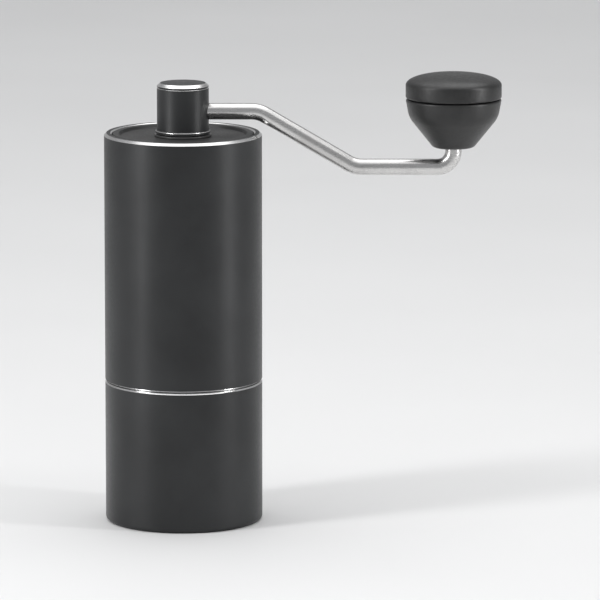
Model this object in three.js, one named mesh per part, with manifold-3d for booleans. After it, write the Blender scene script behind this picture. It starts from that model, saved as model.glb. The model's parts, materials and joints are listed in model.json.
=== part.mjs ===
// Hand crank coffee grinder: a slim round body over a screw-on grounds catcher, a lift-off lid that
// carries a bent crank with a spinning knob, and a conical burr set on a shaft in two ball bearings.
// Units are millimetres, +Z is up, and the origin is the centre of the catcher's flat base.
import * as THREE from 'three';
import { mergeVertices } from 'three/addons/utils/BufferGeometryUtils.js';
import Module from 'manifold-3d';

const wasm = await Module();
wasm.setup();

// ---- Driving dimensions -------------------------------------------------------------------------

const GAP = 0.3; // between pieces that touch or press together on the real object
const BODY_RADIUS = 26;
const SEAM_Z = 47; // where the catcher meets the body
const RIM_Z = 129.5; // top of the body
const WALL = 2.5;

const HUB_RADIUS = 8.55;
const HUB_TOP_Z = 146;
const ARM_RADIUS = 2.7;
const ARM_HIGH_Z = 136.5; // the arm's centreline over the lid
const ARM_LOW_Z = 118; // and beside the body
const ARM_END_Z = 137.4; // the top of its upturned end, inside the knob
const ARM_BENDS_X = [25, 56.5];
const KNOB_X = 89; // the crank's throw, from its axis to the knob's
const KNOB_RADIUS = 15.8;
const KNOB_BOTTOM_Z = 124.6;
const KNOB_SEAM_Z = 141;
const KNOB_TOP_Z = 149.2;

const SHAFT_RADIUS = 3.8;
const HEX_FLATS = 6; // across the flats of the shaft's two hexagons
const HEX_PLAY = 0.6; // how much wider the sockets on them are
const BEARING = { bore: 4.15, outer: 8, width: 5, pitch: 6.12, ball: 0.95, balls: 7 };
const UPPER_BEARING_Z = 113.5;
const LOWER_BEARING_Z = 70.6;
const BURR_RADIUS = 19.05;

// The catcher's thread. A male and a female ridge of one pitch lie half a pitch apart.
const THREAD = { pitch: 2.5, height: 0.8, root: 1.3, crest: 0.6 };
const SPIGOT_RADIUS = 22.5;
const SPIGOT_Z = 38.5;

const FINE = 36; // segments round the large pieces
const MEDIUM = 20;
const COARSE = 12; // and round the small ones

// ---- Materials ----------------------------------------------------------------------------------

const finish = (color, roughness, metalness) =>
  new THREE.MeshStandardMaterial({ color, roughness, metalness });

const blackAnodised = finish(0x1b1c1f, 0.42, 0.6);
const bareAluminium = finish(0xc9cbce, 0.35, 1);
const stainless = finish(0xb4b6b9, 0.28, 1);
const burrSteel = finish(0x8d9094, 0.4, 1);
const springSteel = finish(0x9a9ca0, 0.3, 1);
const blackPlastic = finish(0x1d1e20, 0.55, 0);
const knobPlastic = finish(0x17181a, 0.45, 0);
const acetal = finish(0x2f2f31, 0.4, 0);
const silicone = finish(0x2b2c2f, 0.8, 0);

// ---- Solids -------------------------------------------------------------------------------------

// A closed geometry as a manifold-3d solid, turned inside in if its profile ran the other way.
function solid(geometry) {
  const bare = new THREE.BufferGeometry();
  bare.setAttribute('position', geometry.getAttribute('position'));
  bare.setIndex(geometry.index);
  const merged = mergeVertices(bare, 1e-4);
  const triVerts = new Uint32Array(merged.index.array);
  const build = () =>
    new wasm.Manifold(
      new wasm.Mesh({ numProp: 3, vertProperties: merged.attributes.position.array, triVerts })
    );
  const first = build();
  if (first.volume() > 0) return first;
  for (let i = 0; i < triVerts.length; i += 3) {
    [triVerts[i + 1], triVerts[i + 2]] = [triVerts[i + 2], triVerts[i + 1]];
  }
  return build();
}

function mesh(name, shape, material) {
  const { numProp, numVert, vertProperties, triVerts } = shape.getMesh();
  const positions = new Float32Array(numVert * 3);
  for (let i = 0; i < numVert; i++) {
    positions.set(vertProperties.subarray(i * numProp, i * numProp + 3), i * 3);
  }
  const geometry = new THREE.BufferGeometry();
  geometry.setAttribute('position', new THREE.BufferAttribute(positions, 3));
  geometry.setIndex(new THREE.BufferAttribute(new Uint32Array(triVerts), 1));
  geometry.computeVertexNormals();
  const made = new THREE.Mesh(geometry, material);
  made.name = name;
  return made;
}

const union = (...shapes) => shapes.reduce((whole, shape) => whole.add(shape));
const cut = (shape, ...tools) => tools.reduce((rest, tool) => rest.subtract(tool), shape);

function group(position, ...members) {
  const made = new THREE.Group();
  made.position.set(...position);
  made.add(...members.flat());
  return made;
}

// An outline of [x, y] or [x, y, corner radius] points, with each given corner rounded by an arc.
function rounded(outline) {
  return outline.flatMap(([x, y, radius = 0], i) => {
    const corner = new THREE.Vector2(x, y);
    if (!radius) return [corner];
    const toPoint = ([px, py]) => new THREE.Vector2(px, py).sub(corner).normalize();
    const before = toPoint(outline.at(i - 1));
    const after = toPoint(outline[(i + 1) % outline.length]);
    const half = before.angleTo(after) / 2;
    const reach = radius / Math.tan(half);
    const middle = before.clone().add(after).normalize().multiplyScalar(radius / Math.sin(half)).add(corner);
    const start = corner.clone().addScaledVector(before, reach);
    const turn = Math.PI - 2 * half;
    const side = Math.sign(before.cross(after));
    const facets = radius < 1.5 ? 1 : 2; // a small corner is a chamfer
    return Array.from({ length: facets + 1 }, (_, k) =>
      start.clone().rotateAround(middle, (-side * turn * k) / facets)
    );
  });
}

// A turned piece: its half section in [radius, z] points, revolved about Z.
function turned(outline, segments = FINE) {
  const points = rounded(outline);
  const onAxis = points[0].x === 0 && points.at(-1).x === 0;
  const profile = onAxis ? points : [...points, points[0].clone()];
  return solid(new THREE.LatheGeometry(profile, segments).rotateX(Math.PI / 2));
}

const disc = (radius, bottom, top, segments = MEDIUM) =>
  turned([[0, bottom], [radius, bottom], [radius, top], [0, top]], segments);

const ring = (inner, outer, bottom, top, segments = MEDIUM) =>
  turned([[inner, bottom], [outer, bottom], [outer, top], [inner, top]], segments);

// A flat piece: a shape in the XY plane, from one height to another.
function plate(shape, bottom, top, curveSegments = MEDIUM) {
  const options = { depth: top - bottom, bevelEnabled: false, curveSegments };
  return solid(new THREE.ExtrudeGeometry(shape, options).translate(0, 0, bottom));
}

function polygonShape(corners, radiusAt) {
  const points = Array.from({ length: corners }, (_, i) => {
    const angle = ((i + 0.5) / corners) * 2 * Math.PI;
    return new THREE.Vector2(Math.cos(angle), Math.sin(angle)).multiplyScalar(radiusAt(angle, i));
  });
  return new THREE.Shape(points);
}

const hexagon = (acrossFlats, bottom, top) =>
  plate(polygonShape(6, () => acrossFlats / Math.sqrt(3)), bottom, top);

// An open spring clip, with its gap towards +Y.
function clip(inner, outer, bottom, top, gapDegrees, segments) {
  const half = THREE.MathUtils.degToRad(gapDegrees / 2);
  const start = Math.PI / 2 + half;
  const end = Math.PI * 2.5 - half;
  const shape = new THREE.Shape();
  shape.absarc(0, 0, outer, start, end, false);
  shape.absarc(0, 0, inner, end, start, true);
  return plate(shape, bottom, top, segments);
}

// A path that ExtrudeGeometry follows station by station, so that a straight run needs only its ends.
class StationPath extends THREE.Curve {
  constructor(stations) {
    super();
    this.stations = stations;
  }
  at(t, step) {
    const last = this.stations.length - 1;
    return this.stations[THREE.MathUtils.clamp(Math.round(t * last) + step, 0, last)];
  }
  getPoint(t) {
    return this.at(t, 0).clone();
  }
  getPointAt(t) {
    return this.getPoint(t);
  }
  getTangentAt(t) {
    return this.at(t, 1).clone().sub(this.at(t, -1)).normalize();
  }
}

function rod(radius, stations, sides) {
  const section = polygonShape(sides, () => radius);
  const path = new StationPath(stations);
  return solid(new THREE.ExtrudeGeometry(section, { steps: stations.length - 1, extrudePath: path }));
}

// A helix about Z whose section keeps one side to the axis.
class Helix extends THREE.Curve {
  constructor(radius, pitch, turns, bottom) {
    super();
    Object.assign(this, { radius, pitch, turns, bottom });
  }
  getPoint(t) {
    const angle = t * this.turns * 2 * Math.PI;
    const { radius, pitch, turns, bottom } = this;
    return new THREE.Vector3(Math.cos(angle) * radius, Math.sin(angle) * radius, bottom + pitch * turns * t);
  }
  getPointAt(t) {
    return this.getPoint(t);
  }
  computeFrenetFrames(steps) {
    const frames = { tangents: [], normals: [], binormals: [] };
    for (let i = 0; i <= steps; i++) {
      const angle = (i / steps) * this.turns * 2 * Math.PI;
      const rise = this.pitch / (2 * Math.PI * this.radius);
      const tangent = new THREE.Vector3(-Math.sin(angle), Math.cos(angle), rise).normalize();
      const outward = new THREE.Vector3(Math.cos(angle), Math.sin(angle), 0);
      frames.tangents.push(tangent);
      frames.normals.push(outward);
      frames.binormals.push(tangent.clone().cross(outward));
    }
    return frames;
  }
}

function along(helix, section, stepsPerTurn) {
  const steps = Math.round(helix.turns * stepsPerTurn);
  return solid(new THREE.ExtrudeGeometry(section, { steps, extrudePath: helix }));
}

// A thread's ridge: it stands out from the root radius, or in from it if outward is -1.
function threadRidge(rootRadius, outward, bottom, turns) {
  const buried = 0.4;
  const { pitch, height, root, crest } = THREAD;
  const base = root / 2 + (buried * (root - crest)) / (2 * height);
  const section = new THREE.Shape([
    new THREE.Vector2(-outward * buried, -base),
    new THREE.Vector2(outward * height, -crest / 2),
    new THREE.Vector2(outward * height, crest / 2),
    new THREE.Vector2(-outward * buried, base),
  ]);
  return along(new Helix(rootRadius, pitch, turns, bottom), section, FINE);
}

function coilSpring(radius, wire, turns, bottom, top, stepsPerTurn) {
  const pitch = (top - bottom - 2 * wire) / turns;
  const section = polygonShape(5, () => wire);
  return along(new Helix(radius, pitch, turns, bottom + wire), section, stepsPerTurn);
}

// A body whose rings are given from the bottom up, each with a radius for every tooth flank.
function toothedBody(sides, rings) {
  const positions = [];
  const index = [];
  rings.forEach(({ z, radiusAt }) => {
    for (let i = 0; i < sides; i++) {
      const angle = (i / sides) * 2 * Math.PI;
      positions.push(Math.cos(angle) * radiusAt(i), Math.sin(angle) * radiusAt(i), z);
    }
  });
  for (let level = 0; level < rings.length - 1; level++) {
    for (let i = 0; i < sides; i++) {
      const [a, b] = [level * sides + i, level * sides + ((i + 1) % sides)];
      index.push(a, b, b + sides, a, b + sides, a + sides);
    }
  }
  const centres = positions.length / 3;
  positions.push(0, 0, rings[0].z, 0, 0, rings.at(-1).z);
  const top = (rings.length - 1) * sides;
  for (let i = 0; i < sides; i++) {
    const next = (i + 1) % sides;
    index.push(centres, next, i, centres + 1, top + i, top + next);
  }
  const geometry = new THREE.BufferGeometry();
  geometry.setAttribute('position', new THREE.Float32BufferAttribute(positions, 3));
  geometry.setIndex(index);
  return solid(geometry);
}

const polar = (radius, degrees, z = 0) => {
  const angle = THREE.MathUtils.degToRad(degrees);
  return [Math.cos(angle) * radius, Math.sin(angle) * radius, z];
};

// A socket screw with its head's underside at z 0 and its shank below.
function socketScrew(name, { head, headHeight, shank, length, socket }) {
  const turnedPart = turned(
    [[0, -length], [shank, -length], [shank, 0], [head, 0], [head, headHeight, 0.3], [0, headHeight]],
    COARSE
  );
  return mesh(name, cut(turnedPart, hexagon(socket, headHeight * 0.4, headHeight + 1)), stainless);
}

// ---- Catcher ------------------------------------------------------------------------------------

const THREAD_ROOT_FEMALE = SPIGOT_RADIUS + THREAD.height + GAP;
const THREAD_START_Z = 39.6;

function catcherCup() {
  const floor = 3;
  const top = SEAM_Z - GAP / 2;
  const sealSeat = { radius: 24.4, z: 45.6 };
  const body = turned([
    [0, 0],
    [BODY_RADIUS, 0, 1.4],
    [BODY_RADIUS, top, 0.3],
    [sealSeat.radius, top],
    [sealSeat.radius, sealSeat.z],
    [THREAD_ROOT_FEMALE, sealSeat.z],
    [THREAD_ROOT_FEMALE, floor, 3.5],
    [0, floor],
  ]);
  const ridge = threadRidge(THREAD_ROOT_FEMALE, -1, THREAD_START_Z - THREAD.pitch / 2, 1.5);
  return mesh('catcher_cup', union(body, ridge), blackAnodised);
}

function jointSealRing() {
  const section = 0.6;
  const outline = Array.from({ length: 6 }, (_, i) => {
    const [x, z] = polar(section, i * 60);
    return [23.45 + x, 46.3 + z];
  });
  return mesh('joint_seal_ring', turned(outline, 30), silicone);
}

// ---- Housing ------------------------------------------------------------------------------------

const BRACKET_LEDGES_Z = [72.6, 111.8]; // the thick band of the wall ends at these two ledges
const CLIP_GROOVE = { bottom: 118.2, top: 119.4, radius: 24.4 };

function bodyShell() {
  const bottom = SEAM_Z + GAP / 2;
  const inner = BODY_RADIUS - WALL;
  const band = 22.6;
  return mesh(
    'body_shell',
    turned([
      [inner, bottom, 0.3],
      [BODY_RADIUS, bottom, 0.3],
      [BODY_RADIUS, RIM_Z, 0.8],
      [inner, RIM_Z, 0.4],
      [inner, CLIP_GROOVE.top],
      [CLIP_GROOVE.radius, CLIP_GROOVE.top],
      [CLIP_GROOVE.radius, CLIP_GROOVE.bottom],
      [inner, CLIP_GROOVE.bottom],
      [inner, BRACKET_LEDGES_Z[1]],
      [band, BRACKET_LEDGES_Z[1]],
      [band, BRACKET_LEDGES_Z[0]],
      [inner, BRACKET_LEDGES_Z[0]],
    ]),
    blackAnodised
  );
}

const CARRIER_TOP_Z = 66;
const BRACKET_SCREWS = { radius: 20.3, angles: [90, 210, 330], shank: 1.1 };

function burrCarrier() {
  const shoulder = SEAM_Z + GAP / 2;
  const bore = BURR_RADIUS + GAP;
  const lip = { radius: 17.2, z: 62.2 };
  const groove = { bottom: 44.8, top: 46.2, radius: 20.4 };
  const body = turned([
    [bore, SPIGOT_Z],
    [SPIGOT_RADIUS, SPIGOT_Z, 0.5],
    [SPIGOT_RADIUS, shoulder],
    [BODY_RADIUS - WALL - GAP, shoulder],
    [BODY_RADIUS - WALL - GAP, CARRIER_TOP_Z],
    [lip.radius, CARRIER_TOP_Z],
    [lip.radius, lip.z],
    [bore, lip.z],
    [bore, groove.top],
    [groove.radius, groove.top],
    [groove.radius, groove.bottom],
    [bore, groove.bottom],
  ]);
  const holes = BRACKET_SCREWS.angles.map((degrees) =>
    disc(BRACKET_SCREWS.shank + GAP, lip.z + 0.4, CARRIER_TOP_Z + 1, COARSE).translate(
      polar(BRACKET_SCREWS.radius, degrees)
    )
  );
  const threaded = union(body, threadRidge(SPIGOT_RADIUS, 1, THREAD_START_Z, 1.5));
  return mesh('burr_carrier', cut(threaded, ...holes), bareAluminium);
}

// A ring, three spokes and a boss with a seat for a bearing that stands on a thin lip.
function bearingBracket(name, { ringInner, ringTop, bottom, bossBottom, spokeTop, bearingZ, screws }) {
  const ringOuter = BODY_RADIUS - WALL - GAP - 0.1;
  const boss = { radius: 10.6, seat: BEARING.outer + 0.35, lip: 6.7 };
  const outerRing = ring(ringInner, ringOuter, bottom, ringTop, FINE);
  const hub = disc(boss.radius, bossBottom, bearingZ + BEARING.width + 0.3, MEDIUM);
  const spokes = [30, 150, 270].map((degrees) => {
    const width = 4.5;
    const length = ringInner + 1 - boss.seat;
    const box = new THREE.BoxGeometry(length, width, spokeTop - bossBottom);
    box.translate(boss.seat + length / 2, 0, (spokeTop + bossBottom) / 2);
    return solid(box.rotateZ(THREE.MathUtils.degToRad(degrees)));
  });
  const seat = disc(boss.seat, bearingZ - 0.2, bearingZ + BEARING.width + 1, MEDIUM);
  const through = disc(boss.lip, bossBottom - 1, bearingZ, MEDIUM);
  const holes = screws
    ? BRACKET_SCREWS.angles.map((degrees) =>
        disc(BRACKET_SCREWS.shank + GAP, bottom - 1, ringTop + 1, COARSE).translate(
          polar(BRACKET_SCREWS.radius, degrees)
        )
      )
    : [];
  return mesh(name, cut(union(outerRing, hub, ...spokes), seat, through, ...holes), blackPlastic);
}

function upperBearingBracket() {
  const bottom = BRACKET_LEDGES_Z[1] + GAP;
  const shape = { ringInner: 19.6, ringTop: 117.9, bottom, bossBottom: bottom, spokeTop: 116.5 };
  return bearingBracket('upper_bearing_bracket', { ...shape, bearingZ: UPPER_BEARING_Z });
}

function lowerBearingBracket() {
  const bottom = CARRIER_TOP_Z + GAP;
  const top = BRACKET_LEDGES_Z[0] - GAP;
  const shape = { ringInner: 17.4, ringTop: top, bottom, bossBottom: 69.2, spokeTop: top };
  return bearingBracket('lower_bearing_bracket', { ...shape, bearingZ: LOWER_BEARING_Z, screws: true });
}

function bracketScrews() {
  const shape = { head: 2.1, headHeight: 1.6, shank: BRACKET_SCREWS.shank, length: 9.3, socket: 1.8 };
  return BRACKET_SCREWS.angles.map((degrees, i) => {
    const screw = socketScrew(`bracket_screw_${i + 1}`, shape);
    return group(polar(BRACKET_SCREWS.radius, degrees, BRACKET_LEDGES_Z[0] - GAP + 0.1), screw);
  });
}

const bracketRetainingRing = () =>
  mesh('bracket_retaining_ring', clip(22, 24.1, 118.4, 119.2, 40, 16), springSteel);

const burrRetainingRing = () =>
  mesh('burr_retaining_ring', clip(18, 20.1, 45.1, 45.9, 50, 16), springSteel);

// One bearing, standing on z 0: two grooved races, the balls in their cage, and two shields.
function bearingPieces(prefix) {
  const { bore, outer, width, pitch, ball, balls } = BEARING;
  const middle = width / 2;
  const grooved = (face, depth) => [
    [face, middle - 0.9],
    [face + depth, middle - 0.4],
    [face + depth, middle + 0.4],
    [face, middle + 0.9],
  ];
  const innerFace = 5.25;
  const outerFace = 7;
  const depth = 0.3;
  const outerRace = [[outer, width], [outerFace, width], ...grooved(outerFace, depth).reverse()];
  const innerRace = [[bore, 0], [innerFace, 0], ...grooved(innerFace, -depth)];
  const cage = ring(5.8, 6.45, middle - 0.5, middle + 0.5, 14);
  const ballSet = Array.from({ length: balls }, (_, i) => {
    const sphere = new THREE.SphereGeometry(ball, 6, 4).rotateX(Math.PI / 2);
    return solid(sphere.translate(...polar(pitch, (i * 360) / balls, middle)));
  });
  const shield = (bottom) => ring(5.5, 6.8, bottom, bottom + 0.25, COARSE);
  return {
    outerRace: mesh(
      `${prefix}_bearing_outer_race`,
      turned([...outerRace, [outerFace, 0], [outer, 0]], MEDIUM),
      stainless
    ),
    innerRace: mesh(
      `${prefix}_bearing_inner_race`,
      turned([...innerRace, [innerFace, width], [bore, width]], COARSE),
      stainless
    ),
    ballCage: mesh(`${prefix}_bearing_ball_cage`, union(cage, ...ballSet), stainless),
    shields: [
      mesh(`${prefix}_bearing_lower_shield`, shield(0.15), springSteel),
      mesh(`${prefix}_bearing_upper_shield`, shield(width - 0.4), springSteel),
    ],
  };
}

// ---- Burrs --------------------------------------------------------------------------------------

// Each burr has wide feed teeth that spiral down to a band of fine grinding teeth. The crests of the
// two bands run side by side, so that raising the inner burr closes the gap between them.
const GRIND_GAP = 0.5;
const FINE_BAND = { bottom: 46.3, top: 53, bottomRadius: 17, topRadius: 15.1 };
const bandSlope = (FINE_BAND.topRadius - FINE_BAND.bottomRadius) / (FINE_BAND.top - FINE_BAND.bottom);
const bandRadius = (z) => FINE_BAND.bottomRadius + bandSlope * (z - FINE_BAND.bottom);

// How far a flank lies from the crest: each tooth rises slowly and drops in one step.
function toothDepth(i, samples, twist, depth) {
  const along = (((i + twist) % samples) + samples) % samples;
  return depth * (1 - along / (samples - 1));
}

function outerBurr() {
  const teeth = 36;
  const sides = teeth * 2;
  const feedSamples = 8;
  const fine = (z) => ({ z, radiusAt: (i) => bandRadius(z) + (i % 2 ? 0.5 : 0) });
  const feed = (z, crest, twist) => ({
    z,
    radiusAt: (i) => crest + toothDepth(i, feedSamples, twist, 1.3),
  });
  const bore = toothedBody(sides, [
    fine(FINE_BAND.bottom - 1),
    fine(FINE_BAND.top - 0.6),
    feed(FINE_BAND.top, FINE_BAND.topRadius, 0),
    feed(63, 16.2, 4),
  ]);
  const body = turned([[0, FINE_BAND.bottom], [BURR_RADIUS, FINE_BAND.bottom, 0.4], [BURR_RADIUS, 62, 0.4], [0, 62]]);
  return mesh('outer_burr', cut(body, bore), burrSteel);
}

const DIAL = { radius: 11, bottom: 36.4, top: 44.7, ballCircle: 7.2, clicks: 12 };
const INNER_BURR = { bottom: 45, top: 63.5, springSeat: 57.2 };

function innerBurr() {
  const teeth = 35;
  const sides = teeth * 2;
  const feedSamples = 10;
  const crest = (z) => bandRadius(z) - GRIND_GAP;
  const fine = (z) => ({ z, radiusAt: (i) => crest(z) - (i % 2 ? 0.5 : 0) });
  const feed = (z, radius, twist, depth) => ({
    z,
    radiusAt: (i) => radius - toothDepth(i, feedSamples, twist, depth),
  });
  const body = toothedBody(sides, [
    fine(INNER_BURR.bottom),
    fine(FINE_BAND.top - 0.8),
    feed(FINE_BAND.top, crest(FINE_BAND.top), 0, 1.2),
    feed(56.5, 12.4, 2, 2.2),
    feed(60, 10, 4, 1.9),
    feed(INNER_BURR.top, 7.9, 6, 1.2),
  ]);
  const socket = hexagon(HEX_FLATS + HEX_PLAY, INNER_BURR.bottom - 1, INNER_BURR.springSeat + 1);
  const springSeat = disc(5.8, INNER_BURR.springSeat, INNER_BURR.top + 1, COARSE);
  const dimples = Array.from({ length: DIAL.clicks }, (_, i) => {
    const sphere = new THREE.SphereGeometry(1.5, 6, 4).rotateX(Math.PI / 2);
    return solid(sphere.translate(...polar(DIAL.ballCircle, (i * 360) / DIAL.clicks, INNER_BURR.bottom - 0.9)));
  });
  return mesh('inner_burr', cut(body, socket, springSeat, ...dimples), burrSteel);
}

// ---- Shaft --------------------------------------------------------------------------------------

const SHAFT_END_Z = 33.2;
const SHAFT_HEX_Z = { burr: [46.6, 60], crank: [120.2, 127.6] };
const SHAFT_CLIPS = { lower: 76.2, upper: 118.9 }; // the underside of each clip
const CLIP_THICKNESS = 0.8;

function driveShaft() {
  const threadedEnd = 2.5;
  const overlap = 0.5;
  const round = disc(SHAFT_RADIUS, SHAFT_HEX_Z.burr[1], SHAFT_HEX_Z.crank[0]);
  const end = disc(threadedEnd, SHAFT_END_Z, SHAFT_HEX_Z.burr[0] + overlap, COARSE);
  const burrHex = hexagon(HEX_FLATS, SHAFT_HEX_Z.burr[0], SHAFT_HEX_Z.burr[1] + overlap);
  const crankHex = hexagon(HEX_FLATS, SHAFT_HEX_Z.crank[0] - overlap, SHAFT_HEX_Z.crank[1]);
  const grooves = Object.values(SHAFT_CLIPS).map((z) => ring(3, 6, z - 0.2, z + CLIP_THICKNESS + 0.2));
  const screwHole = disc(1.5, SHAFT_END_Z - 1, 38, COARSE);
  return mesh('drive_shaft', cut(union(round, end, burrHex, crankHex), ...grooves, screwHole), stainless);
}

const shaftClip = (which) =>
  mesh(
    `${which}_shaft_clip`,
    clip(3.3, 5.3, SHAFT_CLIPS[which], SHAFT_CLIPS[which] + CLIP_THICKNESS, 70, 7),
    springSteel
  );

const springWasher = () => mesh('spring_washer', ring(4.15, 5.9, 69.7, 70.3, COARSE), stainless);

const burrSpring = () =>
  mesh('burr_spring', coilSpring(4.95, 0.42, 5, INNER_BURR.springSeat + 0.1, 69.6, 12), springSteel);

function shaftEndScrew() {
  const shape = { head: 3.4, headHeight: 1.9, shank: 1.2, length: 4.5, socket: 2.5 };
  const turnedOver = group([0, 0, SHAFT_END_Z - GAP], socketScrew('shaft_end_screw', shape));
  turnedOver.rotation.x = Math.PI;
  return turnedOver;
}

// ---- Adjustment dial ----------------------------------------------------------------------------

const CLICK_BALL = { radius: 1.2, z: 43.75, hole: 1.5, holeBottom: 39.6 };
const CLICK_ANGLES = [0, 180];

function adjustmentDial() {
  const lobes = 18;
  const grip = plate(
    polygonShape(lobes * 2, (angle, i) => DIAL.radius - (i % 2 ? 0.6 : 0)),
    DIAL.bottom + 1,
    DIAL.top - 1
  );
  const core = turned([
    [0, DIAL.bottom],
    [9, DIAL.bottom, 0.6],
    [10.3, DIAL.bottom + 1.4],
    [10.3, DIAL.top - 1.2],
    [9.4, DIAL.top],
    [0, DIAL.top],
  ]);
  const bore = disc(2.8, DIAL.bottom - 1, DIAL.top + 1, COARSE);
  const holes = CLICK_ANGLES.map((degrees) =>
    disc(CLICK_BALL.hole, CLICK_BALL.holeBottom, DIAL.top + 1, COARSE).translate(
      polar(DIAL.ballCircle, degrees)
    )
  );
  return mesh('adjustment_dial', cut(union(grip, core), bore, ...holes), bareAluminium);
}

const clickSprings = () =>
  CLICK_ANGLES.map((degrees, i) => {
    const spring = coilSpring(0.95, 0.18, 3, CLICK_BALL.holeBottom + 0.1, 42.4, 8);
    return group(polar(DIAL.ballCircle, degrees), mesh(`click_spring_${i + 1}`, spring, springSteel));
  });

const clickBalls = () =>
  CLICK_ANGLES.map((degrees, i) => {
    const sphere = solid(new THREE.SphereGeometry(CLICK_BALL.radius, 8, 6).rotateX(Math.PI / 2));
    return group(polar(DIAL.ballCircle, degrees, CLICK_BALL.z), mesh(`click_ball_${i + 1}`, sphere, stainless));
  });

// ---- Lid ----------------------------------------------------------------------------------------

const LID = { radius: 23.2, plateTop: 128.4, plateBottom: 125.9, skirtBottom: 119.5, bore: 7.8 };
const LID_SEAL = { bottom: 122.8, top: 124.8, depth: 1.3 };

function lid() {
  const lipTop = RIM_Z - 0.1;
  const groove = LID.radius - LID_SEAL.depth;
  const boss = { radius: 10.5, bottom: 123 };
  return mesh(
    'lid',
    turned([
      [LID.bore, boss.bottom],
      [boss.radius, boss.bottom],
      [boss.radius, LID.plateBottom],
      [20.6, LID.plateBottom],
      [20.6, LID.skirtBottom],
      [LID.radius, LID.skirtBottom, 0.4],
      [LID.radius, LID_SEAL.bottom],
      [groove, LID_SEAL.bottom],
      [groove, LID_SEAL.top],
      [LID.radius, LID_SEAL.top],
      [LID.radius, lipTop, 0.4],
      [21.2, lipTop, 0.3],
      [20.6, LID.plateTop],
      [LID.bore, LID.plateTop],
    ]),
    blackPlastic
  );
}

const lidSealRing = () =>
  mesh(
    'lid_seal_ring',
    turned([
      [LID.radius - LID_SEAL.depth + 0.25, LID_SEAL.bottom + 0.2],
      [LID.radius + 0.08, LID_SEAL.bottom + 0.5],
      [LID.radius + 0.08, LID_SEAL.top - 0.5],
      [LID.radius - LID_SEAL.depth + 0.25, LID_SEAL.top - 0.2],
    ]),
    silicone
  );

const STEM = { radius: 5.6, bottom: 120.6, clipZ: 121.5 };

const lidBushing = () =>
  mesh(
    'lid_bushing',
    turned(
      [
        [STEM.radius + GAP, 122.8],
        [LID.bore - GAP, 122.8],
        [LID.bore - GAP, LID.plateTop + 0.1],
        [9.4, LID.plateTop + 0.1],
        [9.4, LID.plateTop + 0.7],
        [STEM.radius + GAP, LID.plateTop + 0.7],
      ],
      MEDIUM
    ),
    acetal
  );

// ---- Crank --------------------------------------------------------------------------------------

const HUB = { bottom: 129.4, top: HUB_TOP_Z - 1.4, capSeat: 5.4, capSeatDepth: 1 };
const CLAMP_SCREW = { radius: 2, bottom: 139.6, top: 143.2 };

function crankHub() {
  const body = turned([
    [0, STEM.bottom],
    [STEM.radius, STEM.bottom, 0.4],
    [STEM.radius, HUB.bottom],
    [9, HUB.bottom, 0.2],
    [9, HUB.bottom + 0.9],
    [HUB_RADIUS, HUB.bottom + 1.2],
    [HUB_RADIUS, HUB.top],
    [0, HUB.top],
  ]);
  const socket = hexagon(HEX_FLATS + HEX_PLAY, STEM.bottom - 1, SHAFT_HEX_Z.crank[1] + 0.6);
  const clipGroove = ring(STEM.radius - 0.7, STEM.radius + 2, STEM.clipZ - 0.2, STEM.clipZ + 0.8, MEDIUM);
  const armBore = solid(
    new THREE.CylinderGeometry(ARM_RADIUS + GAP, ARM_RADIUS + GAP, 20, COARSE)
      .rotateZ(Math.PI / 2)
      .translate(3.5, 0, ARM_HIGH_Z)
  );
  const screwBore = disc(CLAMP_SCREW.radius + GAP, ARM_HIGH_Z, HUB.top + 1, COARSE);
  const capSeat = disc(HUB.capSeat, HUB.top - HUB.capSeatDepth, HUB.top + 1, MEDIUM);
  return mesh('crank_hub', cut(body, socket, clipGroove, armBore, screwBore, capSeat), blackAnodised);
}

const hubCap = () =>
  mesh(
    'hub_cap',
    turned([
      [0, HUB.top - HUB.capSeatDepth + GAP],
      [HUB.capSeat - GAP, HUB.top - HUB.capSeatDepth + GAP],
      [HUB.capSeat - GAP, HUB.top + 0.2],
      [HUB_RADIUS, HUB.top + 0.2],
      [HUB_RADIUS - 0.1, HUB_TOP_Z - 0.8],
      [HUB_RADIUS - 1.2, HUB_TOP_Z],
      [0, HUB_TOP_Z],
    ]),
    blackAnodised
  );

function armClampScrew() {
  const body = disc(CLAMP_SCREW.radius, CLAMP_SCREW.bottom, CLAMP_SCREW.top, COARSE);
  return mesh('arm_clamp_screw', cut(body, hexagon(2, 141.4, 144)), stainless);
}

const hubRetainingRing = () =>
  mesh('hub_retaining_ring', clip(5.2, 7.4, STEM.clipZ, STEM.clipZ + 0.6, 60, 8), springSteel);

// The arm's stations: straight runs joined by round bends in the XZ plane.
function armStations() {
  const corners = [
    [-6, ARM_HIGH_Z],
    [ARM_BENDS_X[0], ARM_HIGH_Z, 9],
    [ARM_BENDS_X[1], ARM_LOW_Z, 9],
    [KNOB_X, ARM_LOW_Z, 5.2],
    [KNOB_X, ARM_END_Z],
  ];
  return corners.flatMap(([x, z, bend = 0], i) => {
    const corner = new THREE.Vector3(x, 0, z);
    if (!bend) return [corner];
    const before = new THREE.Vector3(corners[i - 1][0], 0, corners[i - 1][1]).sub(corner).normalize();
    const after = new THREE.Vector3(corners[i + 1][0], 0, corners[i + 1][1]).sub(corner).normalize();
    const half = before.angleTo(after) / 2;
    const reach = bend / Math.tan(half);
    const middle = before.clone().add(after).normalize().multiplyScalar(bend / Math.sin(half)).add(corner);
    const start = corner.clone().addScaledVector(before, reach).sub(middle);
    const end = corner.clone().addScaledVector(after, reach).sub(middle);
    const turn = Math.PI - 2 * half;
    const steps = Math.ceil(turn / 0.27);
    return Array.from({ length: steps + 1 }, (_, k) => {
      const share = (k / steps) * turn;
      const a = Math.sin(turn - share) / Math.sin(turn);
      const b = Math.sin(share) / Math.sin(turn);
      return start.clone().multiplyScalar(a).addScaledVector(end, b).add(middle);
    });
  });
}

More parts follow.
